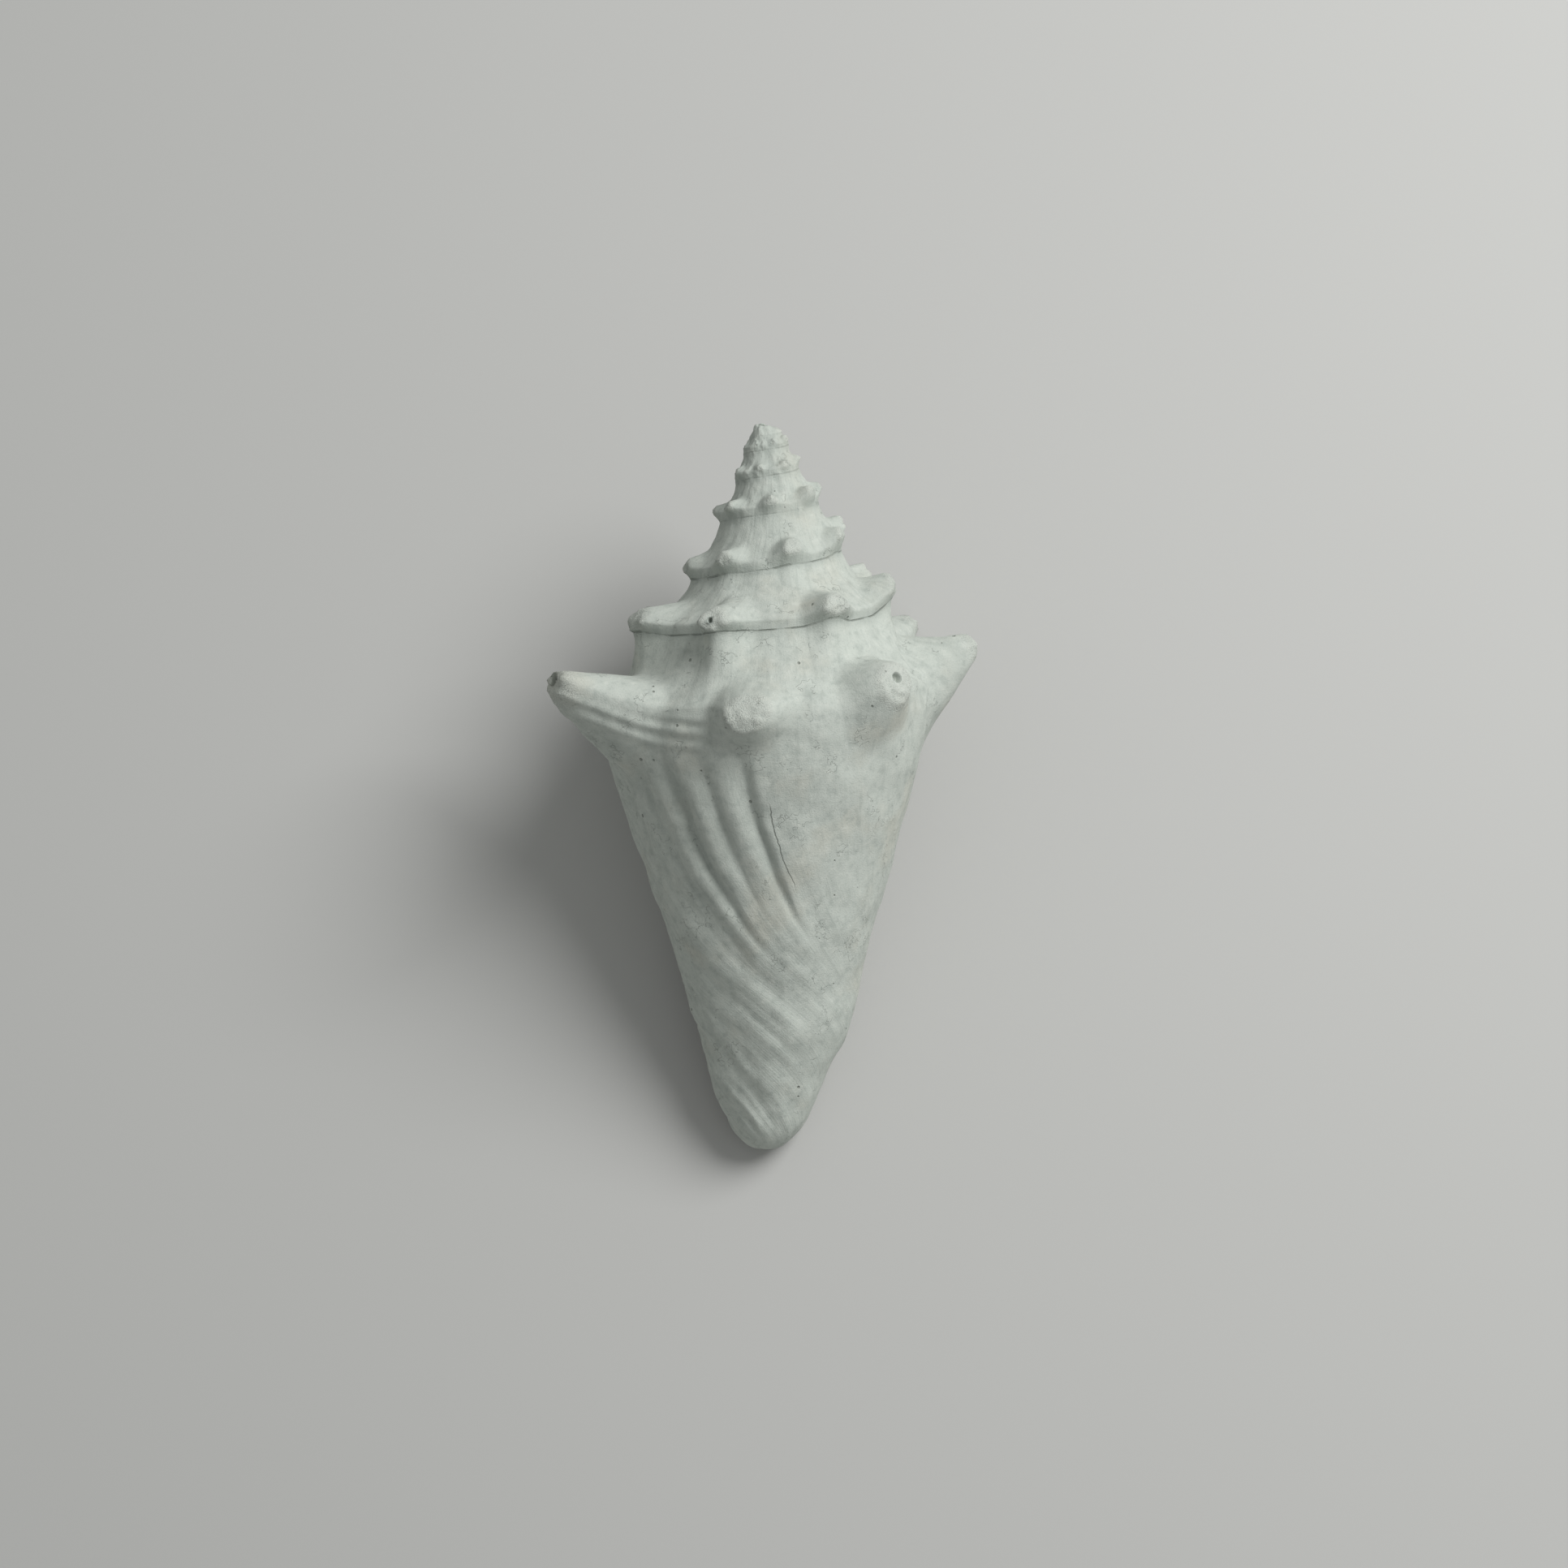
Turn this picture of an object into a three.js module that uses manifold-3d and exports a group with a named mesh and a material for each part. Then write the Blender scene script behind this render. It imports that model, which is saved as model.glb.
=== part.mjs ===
// A conch shell, worn and bleached, lying on its aperture side. Millimetres, +Z up.
// It grew as one piece: knobbed spire, spined shoulder, tapering body whorl, thin unflared outer lip.
//
// The shell is worked out in its own frame first: the coiling axis is Y with the apex up, Z points out
// of the back of the shell and X to the right. "Turn" counts whorls along the growth: 0 is the middle of
// the back on the last whorl, negative turns lead to the apex, and growth runs from right to left.
// "Depth" is measured down the axis from the sharp apex that the shell had before it wore.
import * as THREE from "three";
import { mergeVertices } from "three/addons/utils/BufferGeometryUtils.js";
import Module from "manifold-3d";

// Growth
const LENGTH = 181.6; // sharp apex to anterior end
const GROWTH_PER_TURN = 1.62; // radius of a whorl against the one before
const PENULTIMATE_RADIUS = 28.6; // growth curve's radius at turn -1.25
const LIP_TURN = 0.44; // where the outer lip ends the last whorl
const LIP_LAG = 0.17; // turns by which the lip trails towards the anterior end
const SPIRE_TURNS = 5;
const PILLAR_RADIUS = 5.5;

// Spines
const SPINE_TURN = 0.022; // the broad knob in the middle of the back
const SPINE_SPACING = 0.137;
const SPINE_LENGTH_SHARE = 0.2; // of the shoulder radius, on the spire
const SPINE_WIDTH_SHARE = 0.24;
const SPIRE_SPINE_TILT = 40; // degrees up towards the apex
// The spines of the last whorl, from the lip back: length, half width of the foot, tilt.
const LAST_SPINES = [
  { turn: 0.365, length: 21, width: 11, tilt: 10 },
  { turn: 0.178, length: 21, width: 12, tilt: 20 },
  { turn: SPINE_TURN, length: 7.5, width: 10, tilt: 10 },
  { turn: -0.112, length: 9, width: 8.5, tilt: 18 },
  { turn: -0.246, length: 13.5, width: 11, tilt: 27 },
  { turn: -0.394, length: 20, width: 10, tilt: 18 },
];

// Wall and aperture
const WALL = 2.4;
const PARIETAL_GAP = 0.8; // callus left standing on the inner side of the aperture
const CAVITY_TURNS = 0.84;
const CAVITY_FOOT = 0.93; // share of the body below the shoulder that the hollow reaches down
const PAST_LIP = 0.05; // turns that the hollow's tube runs out past the lip, to open it

// How the shell lies: on the two lowest spines and the anterior end, each worn to a small flat facet
const REST_TILT = 17.61; // degrees, apex raised
const REST_ROLL = 2.74; // degrees about the axis
const REST_WEAR = 0.7;
const ROOM = 400; // side of the block that the worn facets are cut with, larger than the shell

// Mesh density
const COLUMNS = 52; // per turn
const RAMP_ROWS = 6;
const SHOULDER_ROW = 4;
const BODY_ROWS = 16;
const CAVITY_COLUMNS = 30;

const TAU = 2 * Math.PI;
const SHOULDER_SHARE = SHOULDER_ROW / RAMP_ROWS;
const clamp = (v) => Math.min(1, Math.max(0, v));
const smooth = (v) => clamp(v) ** 2 * (3 - 2 * clamp(v));
const mix = (a, b, share) => a + (b - a) * share;

// Growth curves ------------------------------------------------------------

// Radius of the shoulder between spines. The last whorl widens more slowly than the spire.
function shoulderRadius(turn) {
  const slowing = 0.92 - 0.18 * smooth((turn + 1.25) / 1.7) - 0.12 * smooth((turn - 0.2) / 0.24);
  return PENULTIMATE_RADIUS * GROWTH_PER_TURN ** (turn + 1.25) * slowing;
}

// How far below the shoulder the next whorl's suture runs.
function sutureDrop(turn) {
  return 2.8 * (1 - Math.exp(-shoulderRadius(turn) / 8));
}

function shoulderDepth(turn) {
  const spire = 22.6 * Math.log(1 + Math.exp(2.522 + 0.72 * turn));
  return spire + 1.22 * sutureDrop(turn) + 6.5 * smooth((turn + 0.75) / 1.2);
}

// Body below the shoulder. x runs from 0 at the shoulder to 1 at the anterior end.
function bodyRadius(turn, x) {
  const fullness = 1.095 - 0.14 * turn;
  const cone = fullness - 0.88 * x - (fullness - 1) * Math.exp(-x / 0.05);
  const fasciole = 0.06 * Math.exp(-(((x - 0.74) / 0.08) ** 2)) * smooth((0.1 - turn) / 0.4);
  return shoulderRadius(turn) * (cone + fasciole) * Math.sqrt(1 - x ** 16);
}

// The inner side of the aperture: the wall of the whorl before, drawn in to the pillar.
function pillarRadius(turn, x) {
  const top = 0.995 * shoulderRadius(turn);
  return mix(PILLAR_RADIUS, top, Math.exp(-x / 0.2)) * Math.sqrt(1 - x ** 16);
}

// Outside of the last whorl: it starts as the inner side of the aperture and fills out within a
// third of a turn.
function outerRadius(turn, x) {
  const filled = smooth((turn - LIP_TURN + 1) / 0.3);
  return mix(pillarRadius(turn, x), bodyRadius(turn, x), filled);
}

// Spines -------------------------------------------------------------------

function spineList() {
  const spines = [...LAST_SPINES];
  for (let turn = SPINE_TURN - 4 * SPINE_SPACING; turn > LIP_TURN - 1 - SPIRE_TURNS; turn -= SPINE_SPACING) {
    const radius = shoulderRadius(turn);
    spines.push({
      turn,
      length: SPINE_LENGTH_SHARE * radius,
      width: SPINE_WIDTH_SHARE * radius,
      tilt: SPIRE_SPINE_TILT,
    });
  }
  return spines;
}
const SPINES = spineList();

// A unit vector pointing away from the axis at a turn.
const outward = (turn) => new THREE.Vector3(-Math.sin(TAU * turn), 0, Math.cos(TAU * turn));

// Displacement by the spines, at a turn and a distance along the profile from the shoulder.
function spineOffset(turn, fromShoulder) {
  const offset = new THREE.Vector3();
  for (const spine of SPINES) {
    const across = (turn - spine.turn) * TAU * shoulderRadius(spine.turn);
    const reach = Math.hypot(across, fromShoulder) / spine.width;
    if (reach >= 1) continue;
    const height = spine.length * (1 - smooth((reach - 0.12) / 0.88));
    const tilt = THREE.MathUtils.degToRad(spine.tilt);
    offset.addScaledVector(outward(spine.turn), height * Math.cos(tilt));
    offset.y += height * Math.sin(tilt);
  }
  return offset;
}

// Profile ------------------------------------------------------------------

const at = (turn, radius, depth) => outward(turn).multiplyScalar(radius).setY(-depth);

// Radius and depth, without spines, from the suture (share 0) over the ramp to the shoulder and on to
// the next suture (share 1).
function rampProfile(turn, share) {
  const sutureRadius = 0.995 * shoulderRadius(turn - 1);
  const sutureDepth = shoulderDepth(turn - 1) + sutureDrop(turn - 1);
  const run = clamp(share / SHOULDER_SHARE);
  const below = clamp((share - SHOULDER_SHARE) / (1 - SHOULDER_SHARE));
  return {
    radius: mix(sutureRadius, mix(1, 0.995, below) * shoulderRadius(turn), run ** 1.4),
    depth: mix(sutureDepth, shoulderDepth(turn), 1 - (1 - run) ** 1.15) + below * sutureDrop(turn),
  };
}

// The same with the spines. Near the suture the ramp climbs over the spines of the whorl before.
function rampPoint(turn, share) {
  const { radius, depth } = rampProfile(turn, share);
  const shoulder = rampProfile(turn, SHOULDER_SHARE);
  const carried = Math.max(0, 1 - share / SHOULDER_SHARE) ** 2;
  return at(turn, radius, depth)
    .addScaledVector(spineOffset(turn - 1, sutureDrop(turn - 1)), carried)
    .add(spineOffset(turn, Math.hypot(radius - shoulder.radius, depth - shoulder.depth)));
}

// From below the shoulder of the last whorl (share 0) to the anterior end (share 1).
function bodyPoint(turn, share) {
  const depth = shoulderDepth(turn);
  const below = mix(sutureDrop(turn), LENGTH - depth, share);
  const radius = outerRadius(turn, below / (LENGTH - depth));
  return at(turn, radius, depth + below).add(spineOffset(turn, below));
}

// Body rows crowd together at the shoulder and at the rounded anterior end.
const bodyShare = (row) => mix(row / BODY_ROWS, (1 - Math.cos((Math.PI * row) / BODY_ROWS)) / 2, 0.6);
const lipLag = (share) => LIP_LAG * smooth(share / 0.8);

// Meshes -------------------------------------------------------------------

// The whole outside, closed across the aperture. Column by column along the growth, the foot of each
// column is the same vertex as the head of the column one turn later.
function outside() {
  const lastColumn = COLUMNS * (SPIRE_TURNS + 1);
  const firstBody = lastColumn - COLUMNS;
  const startTurn = LIP_TURN - 1 - SPIRE_TURNS;
  const points = [];
  const triangles = [];
  const vertex = new Map();
  const id = (column, row) => {
    if (row === RAMP_ROWS && column <= firstBody) return id(column + COLUMNS, 0);
    if (row === RAMP_ROWS + BODY_ROWS) return vertex.get("end");
    return vertex.get(column + "/" + row);
  };
  const keep = (name, point) => vertex.set(name, points.push(point) - 1);

  keep("apex", new THREE.Vector3(0, -shoulderDepth(startTurn) + 0.6, 0));
  keep("end", new THREE.Vector3(0, -LENGTH, 0));
  for (let column = 0; column <= lastColumn; column++) {
    const turn = startTurn + column / COLUMNS;
    const isBody = column >= firstBody;
    for (let row = 0; row < RAMP_ROWS + (isBody ? BODY_ROWS : 0); row++) {
      if (row === RAMP_ROWS && column === firstBody) continue;
      const share = bodyShare(row - RAMP_ROWS);
      const grown = (column - firstBody) / COLUMNS;
      const trailed = row < RAMP_ROWS ? turn : turn - lipLag(share) * grown;
      keep(
        column + "/" + row,
        row < RAMP_ROWS ? rampPoint(turn, row / RAMP_ROWS) : bodyPoint(trailed, share),
      );
    }
  }

  const quad = (a, b, c, d) => {
    if (a !== b && b !== c && a !== c) triangles.push(a, c, b);
    if (a !== c && c !== d && a !== d) triangles.push(a, d, c);
  };
  for (let column = 0; column < lastColumn; column++) {
    const rows = RAMP_ROWS + (column >= firstBody ? BODY_ROWS : 0);
    for (let row = 0; row < rows; row++) {
      quad(id(column, row), id(column, row + 1), id(column + 1, row + 1), id(column + 1, row));
    }
  }
  // The worn apex
  const rim = [];
  for (let column = 0; column < COLUMNS; column++) rim.push(id(column, 0));
  for (let row = RAMP_ROWS; row > 0; row--) rim.push(id(0, row));
  rim.forEach((a, i) => triangles.push(rim[(i + 1) % rim.length], a, vertex.get("apex")));
  // The face of the aperture, from the lip in to the pillar
  const innerRow = (row) => id(firstBody, RAMP_ROWS + Math.max(0, row - RAMP_ROWS));
  for (let row = 0; row < RAMP_ROWS + BODY_ROWS; row++) {
    quad(id(lastColumn, row), id(lastColumn, row + 1), innerRow(row + 1), innerRow(row));
  }
  return { points, triangles };
}

// A point on the inner face of the outer wall, as turn, radius and depth.
function wallRamp(turn, share) {
  const { radius, depth } = rampProfile(turn, share);
  const lean = smooth(share / SHOULDER_SHARE);
  return { turn, radius: radius - WALL * mix(0.6, 1, lean), depth: depth + WALL * mix(0.8, 0.5, lean) };
}

function wallBody(turn, share) {
  const trailed = turn - lipLag(share) * clamp(turn - LIP_TURN + 1);
  const top = shoulderDepth(trailed);
  const below = mix(sutureDrop(trailed), LENGTH - top, share);
  const radius = outerRadius(trailed, below / (LENGTH - top)) - WALL;
  return { turn: trailed, radius, depth: top + below };
}

// The point across the hollow from it, on the whorl before and its pillar.
function innerWall(turn, wall) {
  const top = shoulderDepth(turn - 1);
  const x = clamp((wall.depth - top) / (LENGTH - top));
  const radius = Math.min(pillarRadius(turn - 1, x) + PARIETAL_GAP, wall.radius - 0.6);
  return { turn, radius, depth: wall.depth };
}

// The hollow behind the aperture: a tube that follows the whorl back and closes inside.
function hollow() {
  const points = [];
  const triangles = [];
  const rows = [];
  for (let row = 2; row <= RAMP_ROWS; row++) rows.push((turn) => wallRamp(turn, row / RAMP_ROWS));
  for (let row = 1; bodyShare(row) < CAVITY_FOOT; row++) {
    rows.push((turn) => wallBody(turn, bodyShare(row)));
  }
  const ringSize = 2 * rows.length;

  for (let column = 0; column <= CAVITY_COLUMNS; column++) {
    const share = column / CAVITY_COLUMNS;
    const turn = mix(LIP_TURN + PAST_LIP, LIP_TURN - CAVITY_TURNS, share);
    const wall = rows.map((row) => row(turn));
    const inner = wall.map((point) => innerWall(turn, point)).reverse();
    const ring = [...wall, ...inner].map((p) => at(p.turn, p.radius, p.depth));
    const middle = ring.reduce((sum, p) => sum.add(p), new THREE.Vector3()).divideScalar(ringSize);
    const closing = 0.8 * smooth((share - 0.85) / 0.15);
    points.push(...ring.map((p) => p.lerp(middle, closing)));
  }

  const at4 = (column, i) => column * ringSize + (i % ringSize);
  const quad = (a, b, c, d) => triangles.push(a, b, c, a, c, d);
  for (let column = 0; column < CAVITY_COLUMNS; column++) {
    for (let i = 0; i < ringSize; i++) {
      quad(at4(column, i), at4(column, i + 1), at4(column + 1, i + 1), at4(column + 1, i));
    }
  }
  for (let i = 0; i < rows.length - 1; i++) {
    const j = ringSize - 1 - i;
    quad(at4(0, i), at4(0, j), at4(0, j - 1), at4(0, i + 1));
    const last = CAVITY_COLUMNS;
    quad(at4(last, i), at4(last, i + 1), at4(last, j - 1), at4(last, j));
  }
  return { points, triangles };
}

// Assembly -----------------------------------------------------------------

const wasm = await Module();
wasm.setup();

function solid({ points, triangles }) {
  const vertProperties = new Float32Array(points.flatMap((point) => point.toArray()));
  const triVerts = new Uint32Array(triangles);
  return new wasm.Manifold(new wasm.Mesh({ numProp: 3, vertProperties, triVerts }));
}

// A block that fills everything above a height.
function blockAbove(height) {
  const box = new THREE.BoxGeometry(ROOM, ROOM, ROOM).translate(0, 0, height + ROOM / 2);
  box.deleteAttribute("normal").deleteAttribute("uv");
  const merged = mergeVertices(box);
  return new wasm.Manifold(
    new wasm.Mesh({
      numProp: 3,
      vertProperties: merged.attributes.position.array,
      triVerts: new Uint32Array(merged.index.array),
    }),
  );
}

// The shell as it lies, standing on height 0 with the middle of its length and width at the origin.
function lyingShell() {
  const grown = solid(outside()).subtract(solid(hollow()));
  const laid = grown.rotate(0, REST_ROLL, 0).rotate(REST_TILT, 0, 0);
  const lowest = laid.boundingBox().min[2];
  const worn = laid.intersect(blockAbove(lowest + REST_WEAR));
  const { min, max } = worn.boundingBox();
  return worn.translate(-(min[0] + max[0]) / 2, -(min[1] + max[1]) / 2, -min[2]);
}

function meshOf(made, name, material) {
  const { vertProperties, triVerts } = made.getMesh();
  const geometry = new THREE.BufferGeometry()
    .setAttribute("position", new THREE.BufferAttribute(vertProperties, 3))
    .setIndex(new THREE.BufferAttribute(triVerts, 1));
  const mesh = new THREE.Mesh(geometry, material);
  mesh.name = name;
  return mesh;
}

const bleachedLime = new THREE.MeshStandardMaterial({ color: 0xc9cfc2, roughness: 0.9, metalness: 0 });
const conch = new THREE.Group();
conch.add(meshOf(lyingShell(), "shell", bleachedLime));
export default conch;
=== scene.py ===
import math

import bpy
from mathutils import Euler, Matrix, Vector


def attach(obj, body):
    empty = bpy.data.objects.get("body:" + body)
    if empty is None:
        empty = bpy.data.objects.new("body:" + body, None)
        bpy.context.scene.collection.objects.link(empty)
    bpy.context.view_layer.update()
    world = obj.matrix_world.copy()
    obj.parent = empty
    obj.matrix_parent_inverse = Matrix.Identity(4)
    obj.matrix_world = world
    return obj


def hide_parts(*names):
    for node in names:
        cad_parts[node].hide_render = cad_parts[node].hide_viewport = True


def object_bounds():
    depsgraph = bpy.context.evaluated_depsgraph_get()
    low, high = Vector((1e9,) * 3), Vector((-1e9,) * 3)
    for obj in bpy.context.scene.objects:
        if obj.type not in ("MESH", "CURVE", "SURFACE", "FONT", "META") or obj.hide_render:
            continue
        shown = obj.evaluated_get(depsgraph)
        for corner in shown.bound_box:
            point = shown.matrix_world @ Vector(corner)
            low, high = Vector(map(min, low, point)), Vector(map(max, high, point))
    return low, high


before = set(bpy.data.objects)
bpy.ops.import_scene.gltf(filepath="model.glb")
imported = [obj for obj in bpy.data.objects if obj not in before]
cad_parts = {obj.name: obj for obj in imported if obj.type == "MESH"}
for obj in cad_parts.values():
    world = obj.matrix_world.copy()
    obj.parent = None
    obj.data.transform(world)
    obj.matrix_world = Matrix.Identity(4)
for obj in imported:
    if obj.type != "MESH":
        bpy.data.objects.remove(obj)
cad_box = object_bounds()

# A worn, bleached conch. Its shape is worked out in millimetres in the shell's own frame: the coiling axis
# is Y with the apex up, Z points out of its back and X to the right. "turn" counts whorls along the growth,
# 0 in the middle of the back on the last whorl, and "depth" is measured down the axis from the sharp apex
# that the shell had before it wore.

MM = 0.001
TAU = 2 * math.pi

# Growth. The lip lags behind the shoulder by LIP_LAG turns at the anterior end, and the shoulder comes at
# SHOULDER_SHARE of the way from a suture to the next.
LENGTH = 181.6
GROWTH_PER_TURN = 1.62
PENULTIMATE_RADIUS = 28.6
PENULTIMATE_TURN = -1.25
LIP_TURN = 0.44
LIP_LAG = 0.17
SPIRE_TURNS = 4.7
PILLAR_RADIUS = 5.5
SHOULDER_SHARE = 0.74
SUTURE_SINK = 0.005
WORN_TIP = (-4.2, -1.2, 0.6)

# Growth folds
FIRST_FOLD = 0.0278
FOLD_SPACING = 0.0417
FOLD_DEPTH = 2.0
DEEPEST_FOLD = 3.0
SWEEP_END = 140.0

# Wall and aperture. The hollow goes back HOLLOW_TURNS from the lip, starts PAST_LIP turns outside it, and
# reaches down to HOLLOW_FOOT of the way from the shoulder to the anterior end. Over HOLLOW_TAPER of its
# run it closes onto a point at HOLLOW_END_RADIUS of the shoulder's radius and HOLLOW_END_DROP below it.
WALL = 2.4
LIP_WALL = 1.3
CALLUS = 0.5
HOLLOW_TURNS = 0.84
HOLLOW_FOOT = 0.94
HOLLOW_RAMP_PART = 0.2
HOLLOW_TAPER = 0.16
HOLLOW_END_RADIUS = 0.72
HOLLOW_END_DROP = 22
PAST_LIP = 0.03

# How it lies, and how much its resting points are worn
REST_TILT = math.radians(17.95)
REST_ROLL = math.radians(2.74)
REST_WEAR = 1.3

# Light, in metres and watts
KEY_PLACE = (0.74, 0.46, 0.96)
KEY_SIZE = 0.8
KEY_WATTS = 15.5
SKY_STRENGTH = 0.36

# Camera, in metres
VIEW_LEAN = math.radians(5)
VIEW_DISTANCE = 1.3
FRAME_WIDTH = 0.386
SENSOR_WIDTH_MM = 36
AIM_RIGHT = 0.0048
AIM_DOWN = 0.0008

# Attributes that the material reads: distance from a seam in mm, and how deep in a fold and how far up a
# knob a point is. This is what they are where there is no seam, fold or knob.
MARKS = {"seam": 50.0, "groove": 0.0, "knob": 0.0}
# Added to the distance where the coil runs beside no later whorl.
NO_SEAM = 40
# The holes in broken knobs get as much painted shade and grime as the shell gets this far from a seam.
HOLE_SHADE_SEAM = 1.2

# Mesh density. Points nearer than MERGE metres are made one.
MERGE = 0.000004
COLUMNS = 320
RAMP_ROWS = 20
BODY_ROWS = 112
CAP_COLUMNS = 14
APEX_RINGS = 9
HOLLOW_COLUMNS = 150
HOLLOW_ROWS = 44
HOLLOW_CROSS_ROWS = 6

# Knobs of the last two whorls: turn, length, half widths ahead of and behind it along the growth, reach
# up the ramp and down the body, tilt up towards the apex in degrees, and share of the width that is blunt.
KNOBS = [
    (0.372, 20, 13, 15, 11, 17, 12, 0.2),
    (0.178, 19, 13, 18, 12, 19, 25, 0.26),
    (0.026, 7, 10.5, 14, 8.5, 14, -4, 0.42),
    (-0.112, 7, 13, 12, 11, 17, 22, 0.36),
    (-0.246, 13.6, 13, 14, 12, 20, 30, 0.13),
    (-0.394, 21, 13, 14, 10, 17, 16, 0.2),
    (-0.53, 8, 11, 11, 9, 5, 25, 0.3),
    (-0.664, 7, 10, 10, 9, 5, 25, 0.3),
    (-0.8, 5.5, 9, 11, 10, 6, 14, 0.42),
    (-0.932, 8, 7, 9.5, 10, 5.5, 6, 0.42),
    (-1.074, 5.5, 8, 9, 9, 5, 24, 0.4),
    (-1.211, 5.5, 8, 9, 9, 5.5, 46, 0.36),
]
# Earlier knobs are evenly spaced, back from this one.
LAST_RULE_KNOB = -1.348
KNOB_SPACING = 0.137
# Knobs with broken tips: turn, tilt in degrees, radius at the mouth and depth of the hole.
HOLLOW_TIPS = [(0.178, 25, 2.4, 2.2), (-0.112, 22, 2.2, 1.8), (-0.932, 6, 1.3, 1.8)]


class Value:
    """A number or vector that varies over a surface: a socket that can be used in sums."""

    def __init__(self, maker, socket):
        self.maker = maker
        self.socket = socket

    def sum(self, operation, *values):
        return self.maker.sum(operation, *values)

    def __add__(self, other):
        return self.sum("ADD", self, other)

    def __radd__(self, other):
        return self.sum("ADD", other, self)

    def __sub__(self, other):
        return self.sum("SUBTRACT", self, other)

    def __rsub__(self, other):
        return self.sum("SUBTRACT", other, self)

    def __mul__(self, other):
        return self.sum("MULTIPLY", self, other)

    def __rmul__(self, other):
        return self.sum("MULTIPLY", other, self)

    def __truediv__(self, other):
        return self.sum("DIVIDE", self, other)

    def __neg__(self):
        return self.sum("MULTIPLY", self, -1)

    def __gt__(self, other):
        return self.sum("GREATER_THAN", self, other)

    def pick(self, name):
        """Another output of the node that this value comes from."""
        return Value(self.maker, self.socket.node.outputs[name])


class Maker:
    """Makes the nodes of one tree."""

    def __init__(self, tree):
        self.tree = tree

    def node(self, kind, settings=None, sockets=(), out=0):
        made = self.tree.nodes.new(kind)
        for name, value in (settings or {}).items():
            setattr(made, name, value)
        pairs = sockets.items() if isinstance(sockets, dict) else enumerate(sockets)
        for key, value in pairs:
            if isinstance(value, Value):
                self.tree.links.new(value.socket, made.inputs[key])
            elif value is not None:
                made.inputs[key].default_value = value
        return Value(self, made.outputs[out]) if len(made.outputs) else made

    def sum(self, operation, *values):
        return self.node("ShaderNodeMath", {"operation": operation}, values)

    def vector(self, x, y, z):
        return self.node("ShaderNodeCombineXYZ", None, [x, y, z])

    def parts(self, vector):
        """The X, Y and Z of a vector."""
        split = self.node("ShaderNodeSeparateXYZ", None, [vector])
        return split, split.pick("Y"), split.pick("Z")


def function(operation):
    """A function of values that vary. Plain numbers may stand beside them."""

    def apply(*values):
        first = next(value for value in values if isinstance(value, Value))
        return first.sum(operation, *values)

    return apply


sine = function("SINE")
cosine = function("COSINE")
exponent = function("EXPONENT")
root = function("SQRT")
least = function("MINIMUM")
most = function("MAXIMUM")
nearest = function("ROUND")
absolute = function("ABSOLUTE")
power = function("POWER")


def logarithm(value):
    return value.sum("LOGARITHM", value, math.e)


def clamp(value):
    return least(most(value, 0.0), 1.0)


def smooth(value):
    held = clamp(value)
    return held * held * (3 - 2 * held)


def mix(a, b, share):
    return a + (b - a) * share


# Growth curves --------------------------------------------------------------------------------------------

SIZES = {
    "Length": LENGTH,
    "Growth per turn": GROWTH_PER_TURN,
    "Penultimate radius": PENULTIMATE_RADIUS,
}


def recipe(name, inputs, outputs, work):
    """Makes a node group from a function of numbers. The result adds that group to another tree."""
    tree = bpy.data.node_groups.new(name, "GeometryNodeTree")
    for label in inputs:
        tree.interface.new_socket(label, in_out="INPUT", socket_type="NodeSocketFloat")
    for label in outputs:
        tree.interface.new_socket(label, in_out="OUTPUT", socket_type="NodeSocketFloat")
    maker = Maker(tree)
    entry = maker.node("NodeGroupInput")
    results = work(maker, *(entry.pick(label) for label in inputs))
    maker.node("NodeGroupOutput", None, results)

    def used(maker, *values):
        group = maker.node("GeometryNodeGroup", {"node_tree": tree}, values)
        return [group.pick(label) for label in outputs]

    return used


def whorl_sizes(maker, length, growth, penultimate, turn):
    """Shoulder radius and depth of the whorl at a turn, and how far below it the next suture runs."""
    slowing = 0.92 - 0.18 * smooth((turn - PENULTIMATE_TURN) / 1.7) - 0.12 * smooth((turn - 0.2) / 0.24)
    radius = penultimate * power(growth, turn - PENULTIMATE_TURN) * slowing
    radius = radius + smooth((-2 - turn) / 1.2)
    drop = 2.8 * (1 - exponent(radius / -8))
    spire = 22.6 * logarithm(1 + exponent(2.522 + 0.72 * turn))
    depth = spire + 1.22 * drop + 6.5 * smooth((turn + 0.75) / 1.2)
    depth = depth - 2.2 * smooth((-1.7 - turn) / 0.8)
    return [radius, depth, drop]


WHORL = recipe("whorl", [*SIZES, "Turn"], ["Radius", "Depth", "Drop"], whorl_sizes)


def end_round(x):
    return root(most(1 - power(x, 28.0), 0.0))


def cone(turn, x):
    """Body radius below the shoulder as a share of the shoulder's, x from 0 there to 1 at the end."""
    fullness = 1.095 - 0.14 * turn
    straight = fullness - 0.88 * x - (fullness - 1) * exponent(x / -0.05)
    fasciole = 0.06 * exponent(power((x - 0.74) / 0.08, 2.0) * -1) * smooth((0.1 - turn) / 0.4)
    return straight + fasciole


def inner_radius(maker, length, radius, depth, drop, x):
    """Radius of the inner side of the aperture: the last whorl's wall, drawn in to the pillar."""
    start = drop / (length - depth)
    top = radius * (1 - SUTURE_SINK * clamp(x / start))
    return [mix(PILLAR_RADIUS, top, exponent(most(x - start, 0.0) / -0.2)) * end_round(x)]


INNER = recipe("inner_side", ["Length", "Radius", "Depth", "Drop", "X"], ["Radius"], inner_radius)


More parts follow.
